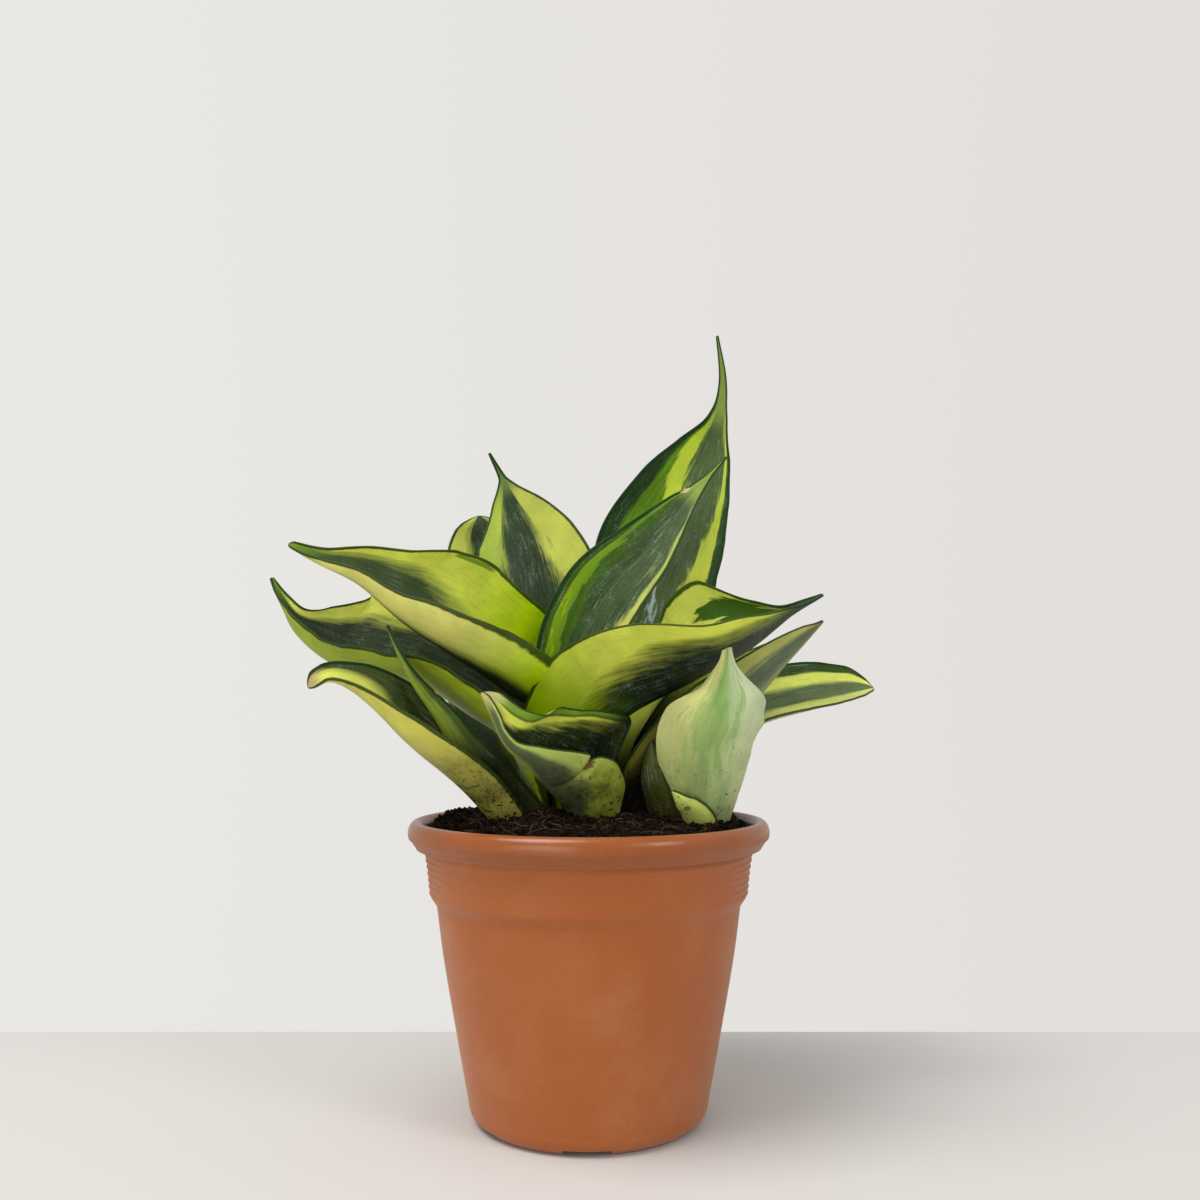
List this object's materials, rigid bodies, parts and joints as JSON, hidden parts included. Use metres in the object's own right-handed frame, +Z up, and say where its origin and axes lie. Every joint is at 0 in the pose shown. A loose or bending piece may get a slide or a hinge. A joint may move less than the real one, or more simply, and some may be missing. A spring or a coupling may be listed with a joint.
{
  "type": "potted snake plant",
  "caption": "Dwarf snake plant with broad channelled yellow-edged leaves and a pale side shoot, growing in a soil-filled plastic pot with a rolled rim.",
  "frame": {"origin": "centre of the pot's foot, on the surface it stands on", "axes": "+Z up through the pot's axis, -Y towards the front as in the picture, +X to its right"},
  "size_m": [0.2109, 0.1218, 0.27],
  "materials": {
    "pot_plastic": "matte terracotta-coloured plastic with a soft sheen on the rim",
    "potting_soil": "rough moist peat with fine fibres",
    "rhizome_skin": "dull orange-brown skin",
    "leaf_skin": "waxy satin, dark green centre and yellow bands inside a thin dark margin",
    "young_leaf_skin": "waxy satin, pale silvery green"
  },
  "bodies": {
    "root": {"pot": "pot_plastic", "soil": "potting_soil", "rhizome": "rhizome_skin", "leaf_front_scarred": "leaf_skin", "leaf_front_right": "leaf_skin", "leaf_left_spike": "leaf_skin", "leaf_left_dry_tip": "leaf_skin", "leaf_centre": "leaf_skin", "leaf_upper_left": "leaf_skin", "leaf_right_low": "leaf_skin", "leaf_lower_left": "leaf_skin", "leaf_back_tall": "leaf_skin", "leaf_back_left": "leaf_skin", "leaf_back_rounded": "leaf_skin", "leaf_right_back": "leaf_skin", "leaf_behind_right": "leaf_skin", "leaf_behind_centre": "leaf_skin", "leaf_behind_left": "leaf_skin", "pup_leaf": "young_leaf_skin", "pup_side_leaf": "young_leaf_skin", "pup_sheath": "young_leaf_skin"}
  },
  "joints": []
}
